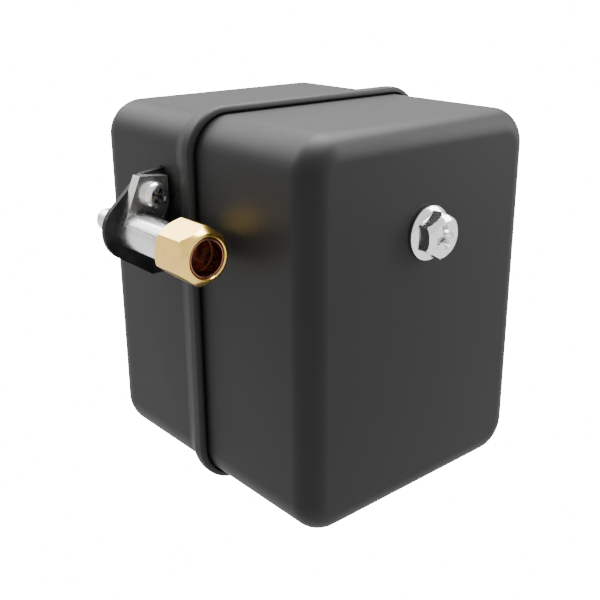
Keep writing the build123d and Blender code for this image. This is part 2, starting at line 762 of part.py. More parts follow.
def valve_body():
    left = tangent_point(ear_corner_in, ear_corner_up, barrel_radius, 1)
    ear_right = valve_out - ear_wall_gap
    right = tangent_point(ear_right, ear_low_up, barrel_radius, -1)
    outline = Polyline((ear_right, ear_top_up), (ear_corner_in, ear_corner_up), left, (0, 0), right,
                       (ear_right, ear_low_up), close=True)
    ear = make_face(outline) + Circle(barrel_radius)
    body = upright(ear, ear_front, plate_front, valve_x, valve_z)
    body += rod_y(barrel_radius, barrel_front, ear_front, valve_x, valve_z)
    body += rod_y(spigot_radius, spigot_front, barrel_front, valve_x, valve_z)
    guide_end = plate_front - guide_depth
    chamber_end = guide_end - valve_chamber_length
    socket_end = spigot_front + tube_socket_depth
    body -= rod_y(plunger_radius + running_gap, guide_end, plate_front + 1, valve_x, valve_z)
    body -= rod_y(valve_chamber_radius, chamber_end, guide_end, valve_x, valve_z)
    body -= rod_y(valve_passage_radius, socket_end - 1, chamber_end + 1, valve_x, valve_z)
    body -= rod_y(tube_radius, spigot_front - 1, socket_end, valve_x, valve_z)
    body -= rod_y(valve_screw_radius + screw_gap, ear_front - 1, plate_front + 1,
                  valve_x + valve_screw_in, valve_z + valve_screw_up)
    save("valve_body", body)
    one = screw(valve_head, valve_screw_radius, ear_thick + thin_sheet + screw_end)
    save("valve_screw", facing_front(one, valve_x + valve_screw_in, ear_front, valve_z + valve_screw_up))
    save("valve_collar", ring_y(collar_radius, spigot_radius + screw_gap, nut_rear, barrel_front,
                                valve_x, valve_z))


def tube_nut():
    nut = upright(hexagon(nut_size, nut_turn), nut_front, nut_rear, valve_x, valve_z)
    corner = nut_size / sqrt(3)
    nose = Plane((valve_x, nut_front + nut_chamfer, valve_z), x_dir=(1, 0, 0), z_dir=(0, -1, 0))
    tip = Plane((valve_x, nut_front, valve_z), x_dir=(1, 0, 0), z_dir=(0, -1, 0))
    turned = loft([nose * Circle(corner + 0.05), tip * Circle(nut_nose_radius)])
    turned += rod_y(corner + 0.05, nut_front + nut_chamfer, nut_rear, valve_x, valve_z)
    nut = nut & turned
    nut -= rod_y(sleeve_outer_radius + running_gap, nut_front - 1, nut_rear, valve_x, valve_z)
    nut -= rod_y(spigot_radius + running_gap, spigot_front - 0.1, nut_rear + 1, valve_x, valve_z)
    save("tube_nut", nut)
    save("compression_sleeve", ring_y(sleeve_outer_radius, tube_radius, nut_front + sleeve_inset,
                                      spigot_front, valve_x, valve_z))


def valve_plunger():
    shoulder = plate_front - plunger_shoulder + thin_sheet
    pin = rod_y(plunger_radius, shoulder, plunger_end, valve_x, valve_z)
    pin = fillet(pin.edges().group_by(Axis.Y)[-1], plunger_radius * 0.5)
    stem_end = shoulder - plunger_stem_length
    pin += rod_y(plunger_stem_radius, stem_end, shoulder, valve_x, valve_z)
    save("valve_plunger", pin)
    save("valve_seal", ring_y(seal_radius, plunger_stem_radius, stem_end, stem_end + seal_thick,
                              valve_x, valve_z))
    spring = Rot(90, 0, 0) * coil(valve_spring_radius, valve_wire_radius, valve_spring_length, 4)
    save("valve_spring", Pos(valve_x, shoulder - 0.05, valve_z) * spring)


def unloader_lever():
    low = valve_z - unloader_half_height
    high = valve_z + unloader_half_height
    tip_x = valve_x + unloader_tip
    inner_x = -lever_left + unloader_inner
    outline = Polyline((tip_x, low), (tip_x, valve_z - unloader_tip_low), (tip_x + unloader_slope, high),
                       (inner_x, high), (inner_x, low), close=True)
    lever = upright(make_face(outline), unloader_front, unloader_front + thin_sheet)
    lever += rod_z(unloader_hub_radius, low, high, unloader_x, unloader_y)
    lever -= rod_z(unloader_pin_radius + running_gap, low - 1, high + 1, unloader_x, unloader_y)
    save("unloader_lever", lever)
    reach = unloader_half_height + lug_gap + thin_sheet
    pin = rod_z(unloader_pin_radius, valve_z - reach - 1, valve_z + reach, unloader_x, unloader_y)
    pin += rod_z(unloader_pin_radius + 0.8, valve_z + reach, valve_z + reach + 1, unloader_x, unloader_y)
    save("unloader_pin", pin)


os.makedirs("parts", exist_ok=True)
rear_housing()
cover()
cable_grommets()
cover_screw()
cover_post()
port_flange()
diaphragm()
flange_screws()
piston_pad()
switch_frame()
frame_screws()
front_bracket()
main_lever()
lever_pin()
spring_set("range", range_x, range_stud_radius, range_stud_top, range_spring_radius,
           range_wire_radius, range_spring_length, range_turns, range_seat_radius,
           range_seat_thick, range_nut_size, range_nut_height)
spring_set("differential", diff_x, diff_stud_radius, diff_stud_top, diff_spring_radius,
           diff_wire_radius, diff_spring_length, diff_turns, diff_seat_radius,
           diff_seat_thick, diff_nut_size, diff_nut_height)
contact_block()
terminals()
contact_carrier()
unloader_bracket()
valve_body()
tube_nut()
valve_plunger()
unloader_lever()
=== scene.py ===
# %% [markdown]
# # A pressure switch with an unloader valve
# A small black box that starts and stops an air compressor. Two moulded shells hide the switch. On its
# left side a bright little valve with a brass nut lets the air out of the pump's pipe when the motor
# stops. The CAD model gives every piece its size and place, and this lesson gives the pieces their looks:
# soft mouldings, plated steel, brass, copper, rubber and a studio to see them in.

# %% Load the frame
import json
from math import cos, pi, radians, sin, sqrt

import bmesh
import bpy
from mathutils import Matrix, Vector

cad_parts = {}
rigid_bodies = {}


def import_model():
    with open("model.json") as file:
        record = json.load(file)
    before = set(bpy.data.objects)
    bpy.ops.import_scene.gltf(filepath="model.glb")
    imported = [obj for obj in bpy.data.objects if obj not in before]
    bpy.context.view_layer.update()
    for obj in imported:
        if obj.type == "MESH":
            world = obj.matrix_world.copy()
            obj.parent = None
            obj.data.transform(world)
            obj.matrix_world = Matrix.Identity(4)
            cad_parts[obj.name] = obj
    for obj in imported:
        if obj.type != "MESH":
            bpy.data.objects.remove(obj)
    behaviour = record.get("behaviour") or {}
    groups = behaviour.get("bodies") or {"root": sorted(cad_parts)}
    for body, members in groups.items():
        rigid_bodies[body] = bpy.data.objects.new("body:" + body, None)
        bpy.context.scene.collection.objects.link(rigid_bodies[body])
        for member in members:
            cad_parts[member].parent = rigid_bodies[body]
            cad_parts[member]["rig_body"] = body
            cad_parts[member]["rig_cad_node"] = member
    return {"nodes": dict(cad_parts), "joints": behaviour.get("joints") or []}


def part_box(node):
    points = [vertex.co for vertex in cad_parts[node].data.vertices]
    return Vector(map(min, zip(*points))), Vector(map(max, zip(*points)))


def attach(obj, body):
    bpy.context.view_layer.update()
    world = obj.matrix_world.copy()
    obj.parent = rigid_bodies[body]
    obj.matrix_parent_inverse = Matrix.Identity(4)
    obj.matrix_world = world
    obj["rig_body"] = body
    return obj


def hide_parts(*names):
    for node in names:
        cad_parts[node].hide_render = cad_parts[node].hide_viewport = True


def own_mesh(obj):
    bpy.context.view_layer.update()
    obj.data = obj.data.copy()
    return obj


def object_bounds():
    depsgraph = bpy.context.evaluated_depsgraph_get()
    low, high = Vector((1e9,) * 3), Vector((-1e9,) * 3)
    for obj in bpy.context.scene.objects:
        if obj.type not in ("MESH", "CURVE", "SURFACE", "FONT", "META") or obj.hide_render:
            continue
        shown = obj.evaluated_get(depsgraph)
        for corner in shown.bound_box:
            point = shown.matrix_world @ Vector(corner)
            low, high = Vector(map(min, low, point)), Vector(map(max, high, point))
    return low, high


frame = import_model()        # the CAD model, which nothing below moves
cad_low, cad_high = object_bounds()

MM = 0.001
nodes = frame["nodes"]

# %% [markdown]
# ## Places that the CAD model gives
# Nothing here is placed by eye. The box of a CAD node says where it starts and ends, so a change in the
# CAD model moves the looks with it. A node such as a set of screws holds several solids. Their boxes are
# found by walking over the triangles that share corners.

# %% Boxes and solids
def middle(box):
    """The centre of a box."""
    return (box[0] + box[1]) / 2


def solids(node):
    """The box of each separate solid of a CAD node, in order along X, Y and Z."""
    mesh = bmesh.new()
    mesh.from_mesh(nodes[node].data)
    bmesh.ops.remove_doubles(mesh, verts=mesh.verts, dist=0.001 * MM)
    left = set(mesh.verts)
    boxes = []
    while left:
        todo = [left.pop()]
        found = list(todo)
        while todo:
            for edge in todo.pop().link_edges:
                for vert in edge.verts:
                    if vert in left:
                        left.remove(vert)
                        todo.append(vert)
                        found.append(vert)
        spans = [sorted(vert.co[axis] for vert in found) for axis in range(3)]
        boxes.append((Vector(s[0] for s in spans), Vector(s[-1] for s in spans)))
    mesh.free()
    return sorted(boxes, key=lambda box: [round(c, 5) for c in middle(box)])


housing_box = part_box("rear_housing")
cover_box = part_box("cover")
rim_y = housing_box[0].y
case_centre = Vector((0, rim_y, middle(housing_box).z))
print("rim's front plane at y =", round(rim_y / MM, 2), "mm")

# %% [markdown]
# ## Camera, floor and light
# A product like this is shown on a white sweep: the ground has no edge and almost no shadow. The camera
# looks down a little, onto the left front edge of the box. A large soft light hangs above, so the top is
# the palest face, and the two upright faces get much less light from the sides. The floor could be lit
# until it turns white, but then it would also flood the black sides with light. So the floor and the sky
# glow white for the camera alone, and stay mild for everything that the object reflects.

# %% Camera
def stand_at(azimuth, elevation, distance, target):
    """A place round a target. Azimuth 0 is in front of the cover, and turns towards +X."""
    around = radians(azimuth)
    up = radians(elevation)
    return target + distance * Vector((sin(around) * cos(up), -cos(around) * cos(up), sin(up)))


CAMERA_AZIMUTH = -41.38     # degrees, seen from the left front
CAMERA_ELEVATION = 18.93
CAMERA_DISTANCE = 0.2452
camera_data = bpy.data.cameras.new("camera")
camera = bpy.data.objects.new("camera", camera_data)
bpy.context.scene.collection.objects.link(camera)
camera.location = stand_at(CAMERA_AZIMUTH, CAMERA_ELEVATION, CAMERA_DISTANCE, case_centre)
camera.rotation_euler = (case_centre - camera.location).to_track_quat("-Z", "Y").to_euler()
camera_data.lens = 53.5
camera_data.shift_x = -0.0266
camera_data.shift_y = -0.0339
camera_data.clip_start = 0.01
camera_data.clip_end = 50
bpy.context.scene.camera = camera
print("camera at", [round(c, 3) for c in camera.location])


# %% Floor, sky and lamps
def glowing(tree, seen, felt):
    """A strength that is one value for the camera and another for light that falls on things."""
    path = tree.nodes.new("ShaderNodeLightPath")
    choice = tree.nodes.new("ShaderNodeMapRange")
    choice.inputs["To Min"].default_value = felt
    choice.inputs["To Max"].default_value = seen
    tree.links.new(path.outputs["Is Camera Ray"], choice.inputs["Value"])
    return choice.outputs["Result"]


def white_sky(seen, felt):
    world = bpy.data.worlds.new("studio")
    world.use_nodes = True
    background = world.node_tree.nodes["Background"]
    background.inputs["Color"].default_value = (1, 1, 1, 1)
    strength = glowing(world.node_tree, seen, felt)
    world.node_tree.links.new(strength, background.inputs["Strength"])
    bpy.context.scene.world = world


def white_floor(seen, felt):
    """A round floor that glows upwards and can be looked through from below."""
    bpy.ops.object.select_all(action="DESELECT")
    bpy.ops.mesh.primitive_circle_add(vertices=96, radius=3, fill_type="NGON",
                                      location=(0, 0, cad_low.z - 0.2 * MM))
    floor = bpy.context.object
    floor.name = "floor"
    material = bpy.data.materials.new("white_floor")
    material.use_nodes = True
    tree = material.node_tree
    tree.nodes.remove(tree.nodes["Principled BSDF"])
    glow = tree.nodes.new("ShaderNodeEmission")
    tree.links.new(glowing(tree, seen, felt), glow.inputs["Strength"])
    clear = tree.nodes.new("ShaderNodeBsdfTransparent")
    side = tree.nodes.new("ShaderNodeNewGeometry")
    one_sided = tree.nodes.new("ShaderNodeMixShader")
    tree.links.new(side.outputs["Backfacing"], one_sided.inputs["Fac"])
    tree.links.new(glow.outputs["Emission"], one_sided.inputs[1])
    tree.links.new(clear.outputs["BSDF"], one_sided.inputs[2])
    tree.links.new(one_sided.outputs["Shader"], tree.nodes["Material Output"].inputs["Surface"])
    floor.data.materials.append(material)


def soft_lamp(name, azimuth, elevation, distance, width, height, power):
    """A square lamp with a soft edge, turned to the case."""
    data = bpy.data.lights.new(name, "AREA")
    data.shape = "RECTANGLE"
    data.size = width
    data.size_y = height
    data.energy = power
    lamp = bpy.data.objects.new(name, data)
    bpy.context.scene.collection.objects.link(lamp)
    lamp.location = stand_at(azimuth, elevation, distance, case_centre)
    lamp.rotation_euler = (case_centre - lamp.location).to_track_quat("-Z", "Y").to_euler()
    return lamp


WHITE_SEEN = 22.0
SKY_FELT = 1.2
FLOOR_FELT = 1.5
LAMPS = [
    # name, azimuth, elevation, distance, width, height, power in watts
    ("lamp_above", 120, 72, 0.55, 0.5, 0.5, 14.0),
    ("lamp_behind", -165, 40, 0.6, 0.5, 0.3, 3.6),
    ("lamp_right", 55, 25, 0.7, 0.3, 0.5, 5.0),
]
white_sky(WHITE_SEEN, SKY_FELT)
white_floor(WHITE_SEEN, FLOOR_FELT)
for lamp in LAMPS:
    soft_lamp(*lamp)
print("stage and lamps set")

# %% [markdown]
# ## A small kit for finishes
# Every finish is worked out by nodes, with no pictures. Nodes written one by one are hard to read, so a
# number that a node gives is wrapped in a class on which plus, minus and times work. A finish is one
# Principled shader, and a single method that adds any other node: its kind, its settings and its sockets.

# %% Numbers and finishes
class Number:
    """A number that varies over a surface. Arithmetic on it adds Math nodes."""

    def __init__(self, finish, socket):
        self.finish = finish
        self.socket = socket

    def joined(self, operation, first, second):
        return self.finish.node("ShaderNodeMath", {"operation": operation}, {0: first, 1: second})

    def __add__(self, other):
        return self.joined("ADD", self, other)

    def __radd__(self, other):
        return self.joined("ADD", other, self)

    def __sub__(self, other):
        return self.joined("SUBTRACT", self, other)

    def __rsub__(self, other):
        return self.joined("SUBTRACT", other, self)

    def __mul__(self, other):
        return self.joined("MULTIPLY", self, other)

    def __rmul__(self, other):
        return self.joined("MULTIPLY", other, self)


class Finish:
    """A material with one Principled shader."""

    def __init__(self, name, **constants):
        self.material = bpy.data.materials.new(name)
        self.material.use_nodes = True
        self.tree = self.material.node_tree
        self.shader = self.tree.nodes["Principled BSDF"]
        for socket, value in constants.items():
            self.put(socket.replace("_", " ").title().replace("Ior", "IOR"), value)

    def feed(self, socket, value):
        if isinstance(value, Number):
            self.tree.links.new(value.socket, socket)
        else:
            socket.default_value = value

    def put(self, socket, value):
        self.feed(self.shader.inputs[socket], value)

    def node(self, kind, settings=None, sockets=None, output=0):
        """Adds a node. Its settings are set before the values or links of its sockets."""
        made = self.tree.nodes.new(kind)
        for name, value in (settings or {}).items():
            setattr(made, name, value)
        for name, value in (sockets or {}).items():
            self.feed(made.inputs[name], value)
        return Number(self, made.outputs[output])

    def where(self, stretch=(1, 1, 1)):
        """The place on the object, stretched for streaks."""
        place = self.node("ShaderNodeTexCoord", output="Object")
        return self.node("ShaderNodeMapping", None, {"Vector": place, "Scale": stretch})

    def noise(self, size, detail=3, where=None, rough=0.5):
        """Clouds of about the given size in metres, from 0 to 1."""
        sockets = {"Vector": where or self.where(), "Scale": 1 / size, "Detail": detail, "Roughness": rough}
        return self.node("ShaderNodeTexNoise", None, sockets)

    def between(self, value, low, high):
        """0 at the first limit and 1 at the second. The first may be the larger one."""
        return self.node("ShaderNodeMapRange", None, {"Value": value, "From Min": low, "From Max": high})

    def blend(self, factor, first, second):
        """A colour between two colours."""
        sockets = {0: factor, 6: first, 7: second}
        return self.node("ShaderNodeMix", {"data_type": "RGBA"}, sockets, 2)

    def edges(self, low, high):
        """1 along outer edges and 0 elsewhere, or the same for inner edges with low above high."""
        point = self.node("ShaderNodeNewGeometry", output="Pointiness")
        return self.between(point, low, high)

    def relief(self, height, depth):
        """Small ups and downs of the given depth in metres."""
        bump = self.node("ShaderNodeBump", None, {"Height": height, "Distance": depth, "Strength": 1.0})
        self.put("Normal", bump)


def grey(value, warm=0.0):
    """A neutral colour, a little towards yellow when warm is above 0."""
    return (value * (1 + warm), value, value * (1 - warm), 1)


print("finish kit ready")

# %% [markdown]
# ## Black moulded shell
# The case is a satin black plastic. The mould was blasted, so the skin has a very fine grain that
# scatters a lamp into a wide soft glow, and dust and handling leave a few paler specks. Black is never
# flat: the grain changes the roughness from place to place, and long weak waves in the wall make the
# reflections uneven.

# %% Case finish
def black_case():
    finish = Finish("black_case", ior=1.5, specular_ior_level=0.22)
    clouds = finish.noise(18 * MM, 4)
    grain = finish.noise(0.32 * MM, 2)
    specks = finish.between(finish.noise(0.5 * MM, 1, rough=0.7), 0.71, 0.78)
    plain = finish.blend(clouds, grey(0.005), grey(0.0075))
    finish.put("Base Color", finish.blend(specks * 0.3, plain, grey(0.035)))
    finish.put("Roughness", 0.43 + 0.08 * clouds + 0.07 * grain)
    finish.relief(grain + 6 * finish.noise(26 * MM, 1), 0.014 * MM)
    return finish.material


case_black = black_case()

# %% [markdown]
# ## Metals
# Plated steel, die-cast zinc, brass and copper differ less in colour than in what their surface went
# through. Plating leaves soft clouds, a press leaves streaks along the sheet, and tumbling rubs every
# outer edge bright. Inner edges and recesses get painted shade: their colour is darkened towards black.
# One function gives all of these, and each metal chooses how much of each it has.

# %% Metal finishes
def metal(name, dark, light, rough, cloud, streak=None, edge=0.0, depth=0.004):
    """A metal between two colours. cloud is the size of its mottling in millimetres.
    edge is how far outer edges are rubbed bright. When it is set, inner edges and recesses also get painted
    shade, darkened towards near-black."""
    finish = Finish(name, metallic=1.0)
    mottle = finish.noise(cloud * MM, 4)
    fine = finish.noise(0.12 * MM, 2)
    marks = fine
    if streak:
        marks = finish.noise(0.16 * MM, 3, finish.where(streak))
    colour = finish.blend(mottle, dark, light)
    if edge:
        worn = finish.edges(0.51, 0.56) * edge
        colour = finish.blend(worn, colour, light)
        # painted shade: inner edges and recesses are darkened towards near-black, where less light would
        # reach them
        colour = finish.blend(finish.edges(0.49, 0.45) * 0.85, colour, grey(0.03))
    finish.put("Base Color", colour)
    finish.put("Roughness", rough - 0.05 + 0.12 * mottle + 0.08 * marks)
    finish.relief(marks + 2 * mottle, depth * MM)
    return finish.material


bright_zinc = metal("bright_zinc", grey(0.62), grey(0.82), 0.2, 1.6, edge=0.6)
chrome = metal("chrome", grey(0.75), grey(0.9), 0.08, 2.5, edge=0.5, depth=0.002)
zinc_sheet = metal("zinc_sheet", (0.42, 0.43, 0.45, 1), (0.62, 0.62, 0.6, 1), 0.34, 3.0, (1, 0.06, 1))
cast_zinc = metal("cast_zinc", grey(0.66), grey(0.86), 0.2, 1.1, edge=0.4, depth=0.007)
brass = metal("brass", (0.86, 0.52, 0.1, 1), (1.0, 0.68, 0.18, 1), 0.17, 2.2, (1, 0.1, 1), edge=0.6)
copper = metal("copper", (0.1, 0.035, 0.022, 1), (0.42, 0.19, 0.13, 1), 0.2, 1.8, edge=0.5)
spring_wire = metal("spring_wire", grey(0.3), grey(0.5), 0.28, 1.2, depth=0.003)
silver = metal("silver", grey(0.7, 0.03), grey(0.86, 0.02), 0.3, 0.8)
print("metals:", len(bpy.data.materials))


# %% Painted, moulded and rubber finishes
def black_steel_finish():
    """Steel sheet with a thin black coat, rubbed through along its edges."""
    finish = Finish("black_steel", specular_ior_level=0.12)
    clouds = finish.noise(4 * MM, 4)
    fine = finish.noise(0.2 * MM, 2)
    worn = finish.edges(0.53, 0.6) * finish.between(clouds, 0.35, 0.65)
    coat = finish.blend(clouds, grey(0.003), grey(0.006))
    finish.put("Base Color", finish.blend(worn * 0.5, coat, grey(0.14)))
    finish.put("Metallic", worn * 0.8)
    finish.put("Roughness", 0.4 + 0.12 * clouds - 0.06 * fine)
    finish.relief(fine + 2 * clouds, 0.006 * MM)
    return finish.material


def moulded(name, dark, light, rough, cloud, grain, depth, coat=0.0):
    """A moulded plastic or rubber between two colours."""
    finish = Finish(name, ior=1.48, specular_ior_level=0.3)
    if coat:
        finish.put("Coat Weight", coat)
        finish.put("Coat Roughness", 0.2)
    clouds = finish.noise(cloud * MM, 4)
    fine = finish.noise(grain * MM, 3)
    finish.put("Base Color", finish.blend(clouds, dark, light))
    finish.put("Roughness", rough + 0.1 * clouds + 0.08 * fine)
    finish.relief(fine, depth * MM)
    return finish.material


black_steel = black_steel_finish()
nylon = moulded("nylon", (0.66, 0.63, 0.56, 1), (0.78, 0.76, 0.7, 1), 0.36, 6, 0.4, 0.01)
rubber = moulded("rubber", grey(0.012), grey(0.028), 0.56, 5, 0.3, 0.012)
phenolic = moulded("phenolic", (0.016, 0.011, 0.009, 1), (0.032, 0.022, 0.018, 1), 0.28, 3, 0.5, 0.008, 0.3)
carrier_red = moulded("carrier_red", (0.16, 0.028, 0.018, 1), (0.25, 0.05, 0.03, 1), 0.34, 3, 0.5, 0.008, 0.2)
earth_green = moulded("earth_green", (0.02, 0.14, 0.045, 1),
                      (0.04, 0.24, 0.08, 1), 0.25, 1.5, 0.3, 0.006, 0.6)
print("finishes:", len(bpy.data.materials))

# %% [markdown]
# ## Tools for modelling
# The pieces are modelled as by hand: a primitive is added, taken into edit mode, and pulled into shape.
# Two moves make most of them. A turned piece is a circle that is extruded and scaled, ring by ring. A
# shell is a rounded rectangle that is extruded along its depth and moved along its own normals, which
# keeps every wall parallel to itself.

# %% Selecting and finishing
def only(*pieces):
    """Selects these objects and nothing else."""
    bpy.ops.object.select_all(action="DESELECT")
    for piece in pieces:
        piece.select_set(True)
    bpy.context.view_layer.objects.active = pieces[0]


def named(name):
    """The object that an operator just made, with its place put into its mesh."""
    piece = bpy.context.object
    piece.name = name
    piece.data.name = name
    bpy.ops.object.transform_apply(location=True, rotation=True, scale=True)
    return piece


def pick(piece, kind, test):
    """Selects the faces, edges or vertices that pass a test, in edit mode."""
    bpy.ops.mesh.select_mode(type={"faces": "FACE", "edges": "EDGE", "verts": "VERT"}[kind])
    bpy.ops.mesh.select_all(action="DESELECT")
    mesh = bmesh.from_edit_mesh(piece.data)
    for item in getattr(mesh, kind):
        item.select_set(bool(test(item)))
    mesh.select_flush_mode()
    bmesh.update_edit_mesh(piece.data)


def modified(piece, kind, **settings):
    """Adds a modifier and applies it."""
    only(piece)
    modifier = piece.modifiers.new(kind.lower(), kind)
    for name, value in settings.items():
        setattr(modifier, name, value)
    bpy.ops.object.modifier_apply(modifier=modifier.name)
    return piece


def cut(piece, cutter, operation="DIFFERENCE"):
    """Cuts a piece with another, which is then removed."""
    modified(piece, "BOOLEAN", operation=operation, object=cutter, solver="EXACT")
    bpy.data.objects.remove(cutter)
    return piece


def smooth(piece, angle=32):
    """Smooth curves and crisp flats."""
    only(piece)
    bpy.ops.object.shade_smooth_by_angle(angle=radians(angle))
    return modified(piece, "WEIGHTED_NORMAL", keep_sharp=True, weight=80)


def joined(name, *pieces):
    """One object from several."""
    only(*pieces)
    if len(pieces) > 1:
        bpy.ops.object.join()
    pieces[0].name = name
    pieces[0].data.name = name
    return pieces[0]


def done(piece, body, slot, material, *stands_for):
    """Gives a finished piece its material and its body, and hides the CAD nodes that it stands for."""
    piece.data.materials.clear()
    piece.data.materials.append(material)
    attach(piece, body)
    if stands_for:
        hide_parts(*stands_for)
    return piece


# %% Turned pieces and blocks
def axis_turn(axis):
    return {"X": (0, pi / 2, 0), "Y": (pi / 2, 0, 0), "Z": (0, 0, 0)}[axis]


def turned(name, axis, centre, profile, sides=64, ring=False):
    """A lathe piece. profile is a list of (place along the axis, radius) in metres.
    A ring ends where it starts. Any other piece gets a flat face at each end."""
    which = "XYZ".index(axis)
    bpy.ops.object.select_all(action="DESELECT")
    start = Vector(centre)
    start[which] = profile[0][0]
    bpy.ops.mesh.primitive_circle_add(vertices=sides, radius=profile[0][1], location=start,
                                      rotation=axis_turn(axis), fill_type="NOTHING" if ring else "NGON")
    piece = named(name)
    bpy.ops.object.mode_set(mode="EDIT")
    bpy.ops.mesh.select_mode(type="EDGE")
    bpy.ops.mesh.select_all(action="SELECT")
    for (before, narrow), (after, wide) in zip(profile, profile[1:]):
        step = Vector((0, 0, 0))
        step[which] = after - before
        bpy.ops.mesh.extrude_edges_move(TRANSFORM_OT_translate={"value": step})
        scale = Vector((wide / narrow,) * 3)
        scale[which] = 1
        pivot = Vector(centre)
        pivot[which] = after
        bpy.ops.transform.resize(value=scale, center_override=pivot)
    if ring:
        bpy.ops.mesh.select_all(action="SELECT")
        bpy.ops.mesh.remove_doubles(threshold=0.0005 * MM)
    else:
        bpy.ops.mesh.edge_face_add()
    bpy.ops.mesh.select_all(action="SELECT")
    bpy.ops.mesh.normals_make_consistent(inside=False)
    bpy.ops.object.mode_set(mode="OBJECT")
    return piece


def brick(name, low, high):
    """A plain block to cut with."""
    bpy.ops.object.select_all(action="DESELECT")
    size = Vector(high) - Vector(low)
    bpy.ops.mesh.primitive_cube_add(size=1, location=(Vector(high) + Vector(low)) / 2, scale=size)
    return named(name)


def prism(name, axis, centre, start, end, across_flats, turn=0.0, edge=0.25 * MM):
    """A hexagon bar with slightly rounded long edges."""
    which = "XYZ".index(axis)
    place = Vector(centre)
    place[which] = (start + end) / 2
    bpy.ops.object.select_all(action="DESELECT")
    bpy.ops.mesh.primitive_cylinder_add(vertices=6, radius=across_flats / sqrt(3), depth=abs(end - start),
                                        location=place, rotation=axis_turn(axis))
    piece = named(name)
    bpy.ops.object.mode_set(mode="EDIT")
    bpy.ops.mesh.select_all(action="SELECT")
    bpy.ops.transform.rotate(value=turn, orient_axis=axis, center_override=place)
    pick(piece, "edges", lambda e: abs((e.verts[0].co - e.verts[1].co)[which]) > abs(end - start) * 0.9)
    bpy.ops.mesh.bevel(offset=edge, segments=3)
    bpy.ops.object.mode_set(mode="OBJECT")
    return piece


def arc(centre_place, centre_radius, reach, start, end, steps):
    """Stations of a profile round a corner. Angle 0 points along the axis, 90 away from it."""
    angles = [radians(start + (end - start) * n / steps) for n in range(steps + 1)]
    return [(centre_place + reach * cos(a), centre_radius + reach * sin(a)) for a in angles]


print("modelling tools ready")

# %% [markdown]
# ## The two shells of the case
# The rear housing and the cover are deep trays with rounded corners. The cover slips into the housing's
# raised rim. A cube with bevels would give the outside, but a moulding has a wall of even thickness, a
# rounded mouth and an inside. So each tray starts as its own small end face, and a rounded rectangle is
# drawn out ring by ring: round the end, along the outside, over the mouth, and back down the inside.

# %% A tray, ring by ring
wall = 2.5 * MM
corner = 9.5 * MM
cover_edge = 6 * MM
housing_edge = 9 * MM
mouth_round = 0.4 * MM
hair = 0.002 * MM          # smallest step along the depth, so that a ring keeps its normals
CORNER_STEPS = 14
case_width = cover_box[1].x - cover_box[0].x
case_height = cover_box[1].z - cover_box[0].z


def tray(name, stations, towards):
    """A shell. Each station is (y, how far the outline stands out from the case's own).
    towards is +1 if the mouth is on the +Y side of the end face."""
    first_y, first_stand = stations[0]
    bpy.ops.object.select_all(action="DESELECT")
    bpy.ops.mesh.primitive_plane_add(size=1, location=(0, first_y, case_centre.z),
                                     rotation=(towards * pi / 2, 0, 0))
    piece = bpy.context.object
    piece.scale = (case_width + 2 * first_stand, case_height + 2 * first_stand, 1)
    named(name)
    bpy.ops.object.mode_set(mode="EDIT")
    bpy.ops.mesh.select_all(action="SELECT")
    bpy.ops.mesh.bevel(affect="VERTICES", offset=corner + first_stand, offset_type="OFFSET",
                       segments=CORNER_STEPS, profile=0.5)
    bpy.ops.mesh.select_mode(type="EDGE")
    bpy.ops.mesh.select_all(action="SELECT")
    for (y0, stand0), (y1, stand1) in zip(stations, stations[1:]):
        bpy.ops.mesh.extrude_edges_move(TRANSFORM_OT_translate={"value": (0, y1 - y0, 0)})
        outwards = 1 if (y1 - y0) * towards > 0 else -1
        bpy.ops.transform.shrink_fatten(value=outwards * (stand1 - stand0), use_even_offset=True)
    bpy.ops.mesh.edge_face_add()
    bpy.ops.object.mode_set(mode="OBJECT")
    return piece


def case_cover():
    front = cover_box[0].y
    mouth = cover_box[1].y
    inside_edge = cover_edge - wall
    stations = arc(front + cover_edge, -cover_edge, cover_edge, 180, 90, 12)
    stations += arc(mouth - mouth_round, -mouth_round, mouth_round, 90, 0, 4)
    stations += [(mouth - hair, -wall + mouth_round), (mouth - mouth_round, -wall)]
    stations += [(y, stand) for y, stand in arc(front + cover_edge, -cover_edge, inside_edge, 90, 180, 8)]
    shell = tray("cover_shell", stations, 1)
    hole = turned("hole", "Y", middle(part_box("cover_screw")),
                  [(front - wall, 2.85 * MM), (front + 2 * wall, 2.85 * MM)])
    cut(shell, hole)
    return done(smooth(shell), "cover", "case", case_black, "cover")


cover_shell = case_cover()
print("cover:", len(cover_shell.data.polygons), "faces")

# %% Rear housing with its rim
rim_stand = 2 * MM
rim_seat = 0.4 * MM        # room between the cover and the rim
rim_round = 1.2 * MM
rim_flare_end = rim_y + 9 * MM
rim_crest_y = rim_y + 2.6 * MM
seat_y = cover_box[1].y


def flare(t):
    """An S-curve from 0 to 1."""
    return (1 - cos(pi * t)) / 2


